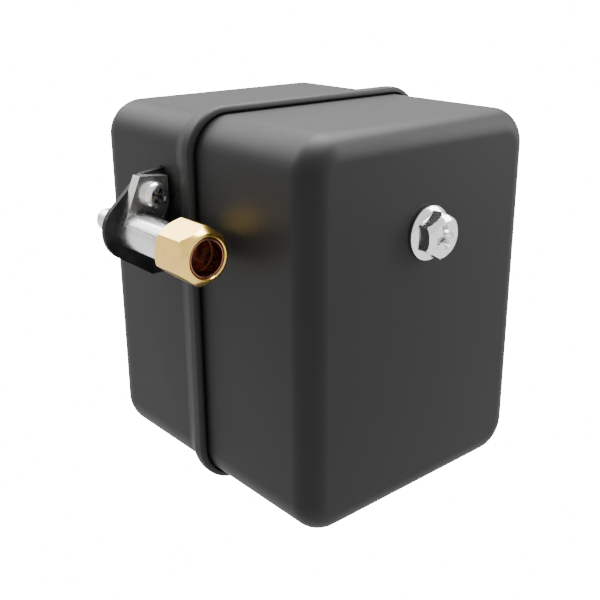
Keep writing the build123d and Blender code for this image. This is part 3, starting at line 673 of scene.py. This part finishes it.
def rear_shell():
    back = housing_box[1].y
    inside_edge = housing_edge - wall
    stations = arc(back - housing_edge, -housing_edge, housing_edge, 0, 90, 14)
    flare_steps = 12
    for n in range(flare_steps + 1):
        t = n / flare_steps
        stations.append((rim_flare_end + (rim_crest_y - rim_flare_end) * t, rim_stand * flare(t)))
    stations += arc(rim_y + rim_round, rim_stand - rim_round, rim_round, 90, 180, 6)
    stations += [(rim_y + hair, rim_seat + mouth_round / 2), (rim_y + mouth_round / 2, rim_seat)]
    stations += [(seat_y, rim_seat), (seat_y + hair, -wall + mouth_round), (seat_y + mouth_round, -wall)]
    stations += arc(back - housing_edge, -housing_edge, inside_edge, 90, 0, 8)
    shell = tray("housing_shell", stations, -1)
    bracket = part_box("unloader_bracket")
    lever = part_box("unloader_lever")
    port = middle(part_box("port_flange"))
    slack = 0.15 * MM
    left = housing_box[0].x - wall
    inside = cover_box[0].x + wall + 1 * MM
    cut(shell, brick("slot", (left, bracket[1].y - 1.5 * MM - slack, bracket[0].z - slack),
                     (inside, bracket[1].y + slack, bracket[1].z + slack)))
    cut(shell, brick("slot", (left, lever[0].y - 0.5 * MM, lever[0].z - 1 * MM),
                     (inside, lever[1].y + 0.3 * MM, lever[1].z + 1 * MM)))
    for solid in solids("cable_grommets"):
        hole_x = (cover_box[1].x - 2 * wall, cover_box[1].x + wall)
        cut(shell, turned("hole", "X", middle(solid), [(x, 9 * MM) for x in hole_x]))
    hole_z = (cover_box[0].z - wall, cover_box[0].z + 2 * wall)
    cut(shell, turned("hole", "Z", port, [(z, 13.1 * MM) for z in hole_z]))
    for x in (-22 * MM, 22 * MM):
        place = (x, 0, 50 * MM)
        boss = [(back - wall - 3.5 * MM, 4.5 * MM), (back - wall + 0.5 * MM, 4.5 * MM)]
        shell = joined("housing_shell", shell, turned("boss", "Y", place, boss, 32))
    return done(smooth(shell), "housing", "case", case_black, "rear_housing")


housing_shell = rear_shell()
print("housing:", len(housing_shell.data.polygons), "faces")

# %% [markdown]
# ## The cover screw
# One bright plated screw holds the cover: a hexagon with a wide flange under it, a domed crown and a cross
# recess. It is shaped the way the real one is. The flange is turned, the hexagon is a bar whose end is cut
# by a large ball, and the recess is pressed in by two tapered wedges. A real thread is a groove that winds
# round, so it is made with the Screw modifier: one tooth is swept round and along at once.

# %% Crossed recesses and threads
WEDGE_TAPER = 0.45
THREAD_DEPTH = 0.6         # as a share of the pitch


def wedge(name, centre, axis, length, width, depth, turn):
    """A tapered bar that presses one arm of a cross recess along an axis, from its end at the centre."""
    which = "XYZ".index(axis)
    size = Vector((length, length, length))
    size[which] = 2 * abs(depth)
    size[(which + 1) % 3] = width
    bpy.ops.object.select_all(action="DESELECT")
    bpy.ops.mesh.primitive_cube_add(size=1, location=centre, scale=size)
    bar = named(name)
    bpy.ops.object.mode_set(mode="EDIT")
    side = 1 if depth > 0 else -1
    pick(bar, "faces", lambda f: f.normal[which] * side > 0.9)
    pivot = Vector(centre)
    pivot[which] += depth
    narrow = Vector((WEDGE_TAPER,) * 3)
    narrow[which] = 1
    bpy.ops.transform.resize(value=narrow, center_override=pivot)
    bpy.ops.mesh.select_all(action="SELECT")
    bpy.ops.transform.rotate(value=turn, orient_axis=axis, center_override=centre)
    bpy.ops.object.mode_set(mode="OBJECT")
    return bar


def cross_recess(piece, centre, axis, length, width, depth, turn=0.0):
    """Presses a cross into the end of a piece. A positive depth goes along the axis."""
    for quarter in (0, pi / 2):
        cut(piece, wedge("wedge", centre, axis, length, width, depth, turn + quarter))
    return piece


def thread(name, axis, centre, start, end, radius, pitch, sides=28):
    """A V thread that winds round an axis, with a core through its middle."""
    which = "XYZ".index(axis)
    low, high = sorted((start, end))
    turns = int((high - low) / pitch) - 1
    root = radius - THREAD_DEPTH * pitch
    across = Vector((0, 0, 0))
    across[(which + 1) % 3] = 1
    along = Vector((0, 0, 0))
    along[which] = 1
    base = Vector(centre)
    base[which] = low + pitch / 4
    bpy.ops.object.select_all(action="DESELECT")
    bpy.ops.mesh.primitive_plane_add(size=pitch, location=base)
    bpy.ops.object.transform_apply(location=False, rotation=True, scale=True)
    coil = bpy.context.object
    bpy.ops.object.mode_set(mode="EDIT")
    bpy.ops.mesh.select_all(action="SELECT")
    bpy.ops.mesh.merge(type="CENTER")
    bpy.ops.transform.translate(value=across * root)
    bpy.ops.mesh.extrude_vertices_move(TRANSFORM_OT_translate={
        "value": across * (radius - root) + along * pitch / 2})
    bpy.ops.mesh.extrude_vertices_move(TRANSFORM_OT_translate={
        "value": along * pitch / 2 - across * (radius - root)})
    bpy.ops.object.mode_set(mode="OBJECT")
    modified(coil, "SCREW", axis=axis, screw_offset=pitch, iterations=turns, steps=sides,
             render_steps=sides, use_merge_vertices=True, merge_threshold=0.001 * MM)
    only(coil)
    coil = named(name)
    lead = 0.3 * pitch
    core = turned(name, axis, centre, [(low, root * 0.94), (low + lead, root), (high - lead, root),
                                       (high, root * 0.94)], sides)
    return joined(name, coil, core)


# %% Cover screw
def make_cover_screw():
    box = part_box("cover_screw")
    centre = middle(box)
    face = cover_box[0].y
    tip = box[0].y
    flange = 6.7 * MM
    across = 10 * MM
    shank_radius = 2.48 * MM
    shank_pitch = 0.8 * MM
    crown = 5.55 * MM
    crown_height = 1.5 * MM
    recess_length, recess_width, recess_depth = 8.6 * MM, 2.5 * MM, 2.4 * MM
    seat = [(face, flange - 0.3 * MM), (face - 0.25 * MM, flange), (face - 0.7 * MM, flange - 0.05 * MM),
            (face - 1.0 * MM, flange - 0.35 * MM), (face - 1.4 * MM, across / 2 + 0.55 * MM),
            (face - 1.6 * MM, across / 2)]
    head = turned("cover_bolt", "Y", centre, seat)
    hexagon = prism("hexagon", "Y", centre, face - 1.0 * MM, tip, across, 0.0, 0.3 * MM)
    shoulder = tip + crown_height
    ball = [(tip + crown_height * (1 - sin(a)), crown * cos(a) ** 0.7)
            for a in (0.25, 0.5, 0.75, 1.0, 1.2, 1.35)]
    dome = turned("dome", "Y", centre, [(face, 8 * MM), (shoulder, 8 * MM), (shoulder, crown)] + ball)
    cut(hexagon, dome, "INTERSECT")
    cut(head, hexagon, "UNION")
    tip_centre = Vector((centre.x, tip, centre.z))
    cross_recess(head, tip_centre, "Y", recess_length, recess_width, recess_depth, radians(12))
    modified(head, "BEVEL", width=0.12 * MM, segments=2, limit_method="ANGLE", angle_limit=radians(34))
    smooth(head)
    shank = thread("shank", "Y", centre, face - 0.2 * MM, box[1].y, shank_radius, shank_pitch)
    bolt = joined("cover_bolt", head, smooth(shank))
    return done(bolt, "cover_screw", "cover_screw", chrome, "cover_screw")


cover_bolt = make_cover_screw()
print("cover screw:", len(cover_bolt.data.polygons), "faces")

# %% [markdown]
# ## Pan head screws
# The switch is full of small screws. One is modelled at the world's origin, standing along Z, and each
# place where the CAD model has a screw gets its own copy. The head is turned with a rolled shoulder, its
# cross is pressed in, and the shank carries a thread. The CAD node's solids say where each copy goes, how
# wide its head is and how long it reaches.

# %% One screw, and sets of it
FACING = {"-X": (0, -pi / 2, 0), "-Y": (pi / 2, 0, 0), "+Y": (-pi / 2, 0, 0), "+Z": (0, 0, 0)}
SCREW_PITCH = 0.5 * MM


def pan_screw(head_radius, head_height, shank_radius, length, turn):
    """A screw whose head stands on Z = 0."""
    r, h = head_radius, head_height
    origin = Vector((0, 0, 0))
    shoulder = [(h * (0.4 + 0.6 * sin(a)), r * (0.45 + 0.55 * cos(a) ** 0.8))
                for a in (0.3, 0.6, 0.9, 1.2, 1.42)]
    head = turned("screw", "Z", origin, [(0, r * 0.96), (0.06 * h, r), (0.4 * h, r)] + shoulder, 40)
    cross_recess(head, Vector((0, 0, h)), "Z", r * 1.75, r * 0.46, -0.68 * h, turn)
    smooth(head)
    shank = thread("shank", "Z", origin, 0.1 * h, -length, shank_radius, SCREW_PITCH, 20)
    return joined("screw", head, smooth(shank, 40))


def screw_set(name, node, facing, head_height, shank_radius, material, slot="zinc_steel"):
    """A copy of a screw at each solid of a CAD node. facing is the way that the heads look."""
    which = "XYZ".index(facing[1])
    sign = 1 if facing[0] == "+" else -1
    copies = []
    for number, (low, high) in enumerate(solids(node)):
        size = high - low
        head_radius = max(size[(which + 1) % 3], size[(which + 2) % 3]) / 2
        length = size[which] - head_height
        screw = pan_screw(head_radius, head_height, shank_radius, length, 0.5 + 1.3 * number)
        only(screw)
        place = (low + high) / 2
        place[which] = (high[which] if sign > 0 else low[which]) - sign * head_height
        screw.rotation_euler = FACING[facing]
        screw.location = place
        bpy.ops.object.transform_apply(location=True, rotation=True, scale=True)
        copies.append(screw)
    return done(joined(name, *copies), "housing", slot, material, node)


screw_sets = [
    # piece, CAD node, heads look towards, head height, shank radius
    ("valve_fixing", "valve_screw", "-Y", 2.4, 1.6),
    ("flange_fixings", "flange_screws", "+Z", 2.2, 2.0),
    ("frame_fixings", "frame_screws", "-Y", 2.0, 1.6),
    ("bracket_fixings", "bracket_screws", "+Z", 1.9, 1.5),
    ("block_fixings", "block_screws", "+Y", 1.9, 1.5),
    ("terminal_fixings", "terminal_screws", "-Y", 2.4, 1.9),
    ("leg_fixings", "unloader_bracket_screws", "-X", 1.7, 1.5),
]
for piece, node, facing, head_height, shank_radius in screw_sets:
    screw_set(piece, node, facing, head_height * MM, shank_radius * MM, bright_zinc)
screw_set("earth_fixing", "ground_screw", "-Y", 2.4 * MM, 1.5 * MM, earth_green, "green")
print("screws placed")

# %% [markdown]
# ## Compression nut, sleeve and collar
# The brass nut is cut from hexagon bar. A lathe chamfers both ends, which leaves a curved edge on each
# flat, and turns the wide cone at the mouth. The same happens here: a hexagon prism is cut by a turned
# envelope, then bored. The copper sleeve sits just inside the mouth, and a pale ring closes the gap
# behind the nut.

# %% Nut, sleeve and collar
def make_tube_nut():
    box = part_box("tube_nut")
    centre = middle(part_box("valve_collar"))
    front, rear = box[0].y, box[1].y
    across = 12.7 * MM
    corner_reach = across / sqrt(3)
    cone = 2.7 * MM
    bore = 4.7 * MM
    collar_room = 4.97 * MM
    turn = radians(-8)
    nut = prism("brass_nut", "Y", centre, front, rear, across, turn, 0.55 * MM)
    envelope = [(front, 5.15 * MM), (front + 0.12 * MM, 5.45 * MM), (front + 0.4 * MM, 5.75 * MM)]
    envelope += [(front + cone, corner_reach + 0.02 * MM), (rear - 1.1 * MM, corner_reach + 0.02 * MM),
                 (rear, corner_reach - 1.1 * MM)]
    cut(nut, turned("envelope", "Y", centre, envelope, 96), "INTERSECT")
    cut(nut, turned("bore", "Y", centre, [(front - 1 * MM, bore + 1.0 * MM), (front + 0.35 * MM, bore),
                                          (rear - 7 * MM, bore), (rear - 6.9 * MM, collar_room),
                                          (rear + 1 * MM, collar_room)], 96))
    modified(nut, "BEVEL", width=0.1 * MM, segments=2, limit_method="ANGLE", angle_limit=radians(28))
    return done(smooth(nut, 26), "tube_nut", "brass", brass, "tube_nut")


def make_sleeve():
    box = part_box("compression_sleeve")
    inner, outer = 4.05 * MM, 4.62 * MM
    front, rear = box[0].y, box[1].y
    lip = 0.2 * MM
    profile = [(rear, inner), (rear, outer), (front + lip, outer), (front + 0.06 * MM, outer - 0.08 * MM),
               (front, outer - lip), (front, inner + lip), (front + 0.08 * MM, inner + 0.06 * MM),
               (front + lip, inner), (rear, inner)]
    return done(smooth(turned("copper_sleeve", "Y", middle(box), profile, 96, ring=True)),
                "housing", "copper", copper, "compression_sleeve")


def make_socket_lining():
    """The copper wall of the socket behind the sleeve, with an opening in its floor."""
    centre = middle(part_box("compression_sleeve"))
    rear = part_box("compression_sleeve")[1].y
    depth = 5 * MM
    inner, outer, orifice = 3.9 * MM, 4.0 * MM, 2.1 * MM
    bottom = rear + depth - 0.1 * MM
    profile = [(rear, inner), (rear, outer), (bottom, outer), (bottom, orifice),
               (bottom - 0.3 * MM, orifice + 0.2 * MM), (bottom - 0.3 * MM, inner - 0.4 * MM),
               (bottom - 0.7 * MM, inner), (rear, inner)]
    lining = turned("copper_lining", "Y", centre, profile, 64, ring=True)
    return done(smooth(lining), "housing", "copper", copper)


def make_collar():
    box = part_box("valve_collar")
    front, rear = box[0].y, box[1].y
    outer, inner = 5.5 * MM, 5.0 * MM
    soft = 0.3 * MM
    profile = [(front, inner), (front, outer - soft), (front + 0.1 * MM, outer - 0.1 * MM),
               (front + soft, outer), (rear - soft, outer), (rear - 0.1 * MM, outer - 0.1 * MM),
               (rear, outer - soft), (rear, inner), (front, inner)]
    return done(smooth(turned("pale_ring", "Y", middle(box), profile, 96, ring=True)),
                "housing", "nylon", nylon, "valve_collar")


make_tube_nut()
make_sleeve()
make_socket_lining()
make_collar()
print("nut, sleeve and ring made")

# %% [markdown]
# ## Pieces that keep their CAD shape
# Brackets, levers and mouldings already have the right shape, but a CAD edge is a perfect knife and real
# ones never are: sheet is tumbled after it is cut, and plastic leaves the mould with a small radius. A
# copy of the node is cleaned first, because its triangles are loose. Points are merged and flat areas
# become single faces. Then a narrow bevel runs along every hard edge and catches the light.

# %% Copies with soft edges
HARD_EDGE = radians(34)


def eased(name, node, edge):
    """A copy of a CAD node with its hard edges rounded by a width in millimetres."""
    bpy.ops.object.select_all(action="DESELECT")
    nodes[node].select_set(True)
    bpy.context.view_layer.objects.active = nodes[node]
    bpy.ops.object.duplicate()
    piece = bpy.context.object
    piece.name = name
    piece.data.name = name
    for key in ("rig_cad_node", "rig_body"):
        del piece[key]
    bpy.ops.object.mode_set(mode="EDIT")
    bpy.ops.mesh.select_all(action="SELECT")
    bpy.ops.mesh.remove_doubles(threshold=0.002 * MM)
    bpy.ops.mesh.dissolve_limited(angle_limit=radians(0.5))
    bpy.ops.object.mode_set(mode="OBJECT")
    modified(piece, "BEVEL", width=edge * MM, segments=2, limit_method="ANGLE",
             angle_limit=HARD_EDGE, use_clamp_overlap=True)
    return smooth(piece, 30)


eased_pieces = [
    # CAD node, body, slot, material, width of the rounded edge
    ("unloader_bracket", "housing", "black_steel", black_steel, 0.12),
    ("valve_plunger", "valve_plunger", "zinc_steel", bright_zinc, 0.1),
    ("unloader_lever", "unloader_lever", "zinc_steel", zinc_sheet, 0.15),
    ("unloader_pin", "housing", "zinc_steel", bright_zinc, 0.12),
    ("switch_frame", "housing", "zinc_steel", zinc_sheet, 0.2),
    ("front_bracket", "housing", "zinc_steel", zinc_sheet, 0.2),
    ("main_lever", "main_lever", "zinc_steel", zinc_sheet, 0.2),
    ("lever_pin", "housing", "zinc_steel", bright_zinc, 0.15),
    ("lever_pin_clip", "housing", "zinc_steel", bright_zinc, 0.15),
    ("lever_spacer", "housing", "zinc_steel", bright_zinc, 0.15),
    ("range_seat", "range_seat", "zinc_steel", zinc_sheet, 0.25),
    ("differential_seat", "differential_seat", "zinc_steel", zinc_sheet, 0.2),
    ("contact_block", "housing", "phenolic", phenolic, 0.3),
    ("contact_carrier", "contact_carrier", "carrier", carrier_red, 0.3),
    ("terminal_strips", "housing", "brass", brass, 0.15),
    ("contact_bridges", "contact_carrier", "brass", brass, 0.15),
    ("fixed_contacts", "housing", "silver", silver, 0.25),
    ("moving_contacts", "contact_carrier", "silver", silver, 0.25),
    ("port_flange", "housing", "die_cast", cast_zinc, 0.3),
    ("diaphragm", "housing", "rubber", rubber, 0.2),
    ("piston_pad", "piston", "nylon", nylon, 0.2),
    ("cable_grommets", "housing", "rubber", rubber, 0.3),
    ("cover_post", "housing", "zinc_steel", bright_zinc, 0.2),
    ("post_nut", "housing", "zinc_steel", bright_zinc, 0.2),
]
for node, body, slot, material, edge in eased_pieces:
    done(eased(node + "_eased", node, edge), body, slot, material, node)
print("eased copies:", len(eased_pieces))

# %% [markdown]
# ## The valve's casting
# The valve's body is eased in the same way. Then a narrow way is drilled from the bottom of its socket.

# %% The valve's casting
valve = eased("valve_casting", "valve_body", 0.2)
sleeve_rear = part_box("compression_sleeve")[1].y
cut(valve, turned("orifice", "Y", middle(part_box("compression_sleeve")),
                  [(sleeve_rear + 1 * MM, 2.0 * MM), (sleeve_rear + 9 * MM, 1.9 * MM)], 48))
done(smooth(valve, 30), "housing", "die_cast", cast_zinc, "valve_body")
print("valve casting:", len(valve.data.polygons), "faces")

# %% [markdown]
# ## Springs, studs and nuts
# The two springs set the pressures. A spring is a wire wound at an even pitch, with an end turn at each
# end that lies flat on its seat. The Screw modifier winds a small circle: one flat turn, the open turns,
# and one flat turn, joined where they meet. As a nut is turned down, its seat moves and the spring gets
# shorter, but the wound spring here keeps its length and does not squash with that joint.

# %% Springs
STEPS_PER_TURN = 40


def wound(centre, low, mean_radius, wire_radius, pitch, turns):
    """Turns of wire round Z, starting at the given height on the +X side."""
    bpy.ops.object.select_all(action="DESELECT")
    bpy.ops.mesh.primitive_circle_add(vertices=16, radius=wire_radius, fill_type="NOTHING",
                                      location=(mean_radius, 0, 0), rotation=(pi / 2, 0, 0))
    coil = named("coil")
    modified(coil, "SCREW", axis="Z", screw_offset=pitch, iterations=turns, steps=STEPS_PER_TURN,
             render_steps=STEPS_PER_TURN)
    coil.location = (centre.x, centre.y, low)
    only(coil)
    bpy.ops.object.transform_apply(location=True, rotation=True, scale=True)
    return coil


def make_spring(name, node, wire_radius, open_turns):
    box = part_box(node)
    centre = middle(box)
    mean = (box[1].x - box[0].x) / 2 - wire_radius
    flat = 2.04 * wire_radius
    low = box[0].z + wire_radius
    high = box[1].z - wire_radius
    pitch = (high - low - 2 * flat) / open_turns
    spring = joined(name, wound(centre, low, mean, wire_radius, flat, 1),
                    wound(centre, low + flat, mean, wire_radius, pitch, open_turns),
                    wound(centre, high - flat, mean, wire_radius, flat, 1))
    bpy.ops.object.mode_set(mode="EDIT")
    bpy.ops.mesh.select_all(action="SELECT")
    bpy.ops.mesh.remove_doubles(threshold=0.02 * MM)
    bpy.ops.mesh.select_mode(type="EDGE")
    bpy.ops.mesh.select_all(action="DESELECT")
    bpy.ops.mesh.select_non_manifold()
    bpy.ops.mesh.edge_face_add()
    bpy.ops.mesh.select_all(action="SELECT")
    bpy.ops.mesh.normals_make_consistent(inside=False)
    bpy.ops.object.mode_set(mode="OBJECT")
    return done(smooth(spring, 50), "housing", "spring_steel", spring_wire, node)


for name, joint, wire, turns in (("range", "range_seat_slide", 1.1 * MM, 5),
                                 ("differential", "differential_seat_slide", 0.6 * MM, 6)):
    spring = make_spring(name + "_spring_wound", name + "_spring", wire, turns)
    low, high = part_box(name + "_spring")
    travel = next(j for j in frame["joints"] if j["name"] == joint)["range_m"][1]
    length = high.z - low.z
    middle((low, high)).x
    (length - travel) / length
    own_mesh(spring)
print("springs wound")

# %% [markdown]
# ## Studs and nuts
# Each spring stands round a threaded stud, and a hexagon nut on the stud presses its seat down. A nut is
# a slice of hexagon bar with both ends turned to a cone, so its corners end in curves. Here too the
# hexagon is cut by a turned envelope, and then the hole is cut with a small countersink at the top.

# %% Studs and nuts
def make_stud(name, node, pitch):
    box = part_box(node)
    centre = middle(box)
    radius = (box[1].x - box[0].x) / 3
    head = turned(name, "Z", centre, [(box[0].z, radius * 1.44), (box[0].z + 0.2 * MM, radius * 1.5),
                                      (box[0].z + 1.7 * MM, radius * 1.5), (box[0].z + 2 * MM, radius * 1.4)])
    rod = thread("rod", "Z", centre, box[0].z + 1.5 * MM, box[1].z, radius, pitch, 24)
    return done(joined(name, smooth(head), smooth(rod, 40)), "housing", "zinc_steel", bright_zinc, node)


def make_nut(name, node, bore_radius):
    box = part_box(node)
    centre = middle(box)
    low, high = box[0].z, box[1].z
    across = min(box[1].x - box[0].x, box[1].y - box[0].y)
    reach = across / sqrt(3)
    face = 0.49 * across
    drop = 0.065 * across
    corner_along_x = box[1].x - box[0].x > across * 1.01
    nut = prism(name, "Z", centre, low, high, across, pi / 6 if corner_along_x else 0)
    envelope = [(low, face), (low + drop, reach), (high - drop, reach), (high, face)]
    cut(nut, turned("envelope", "Z", centre, envelope), "INTERSECT")
    hole = [(low - 1 * MM, bore_radius), (high - 0.4 * MM, bore_radius),
            (high + 0.6 * MM, bore_radius + 1 * MM)]
    cut(nut, turned("hole", "Z", centre, hole))
    modified(nut, "BEVEL", width=0.08 * MM, segments=2, limit_method="ANGLE", angle_limit=radians(28))
    return done(smooth(nut, 26), node, "zinc_steel", bright_zinc, node)


make_stud("range_rod", "range_stud", 1.0 * MM)
make_stud("differential_rod", "differential_stud", 0.7 * MM)
make_nut("range_hexagon", "range_nut", 3.07 * MM)
make_nut("differential_hexagon", "differential_nut", 2.07 * MM)
print("studs and nuts made")

# %% [markdown]
# ## CAD nodes that stay
# Every other CAD node has a modelled piece in its place. The small springs and the valve's seal are hidden
# deep inside, so they keep their CAD shape and only get a finish.

# %% Finishes of the CAD nodes that stay
for node, material in (("contact_springs", spring_wire), ("valve_spring", spring_wire),
                       ("valve_seal", rubber)):
    nodes[node].data.materials.clear()
    nodes[node].data.materials.append(material)
print("finishes of CAD nodes set")
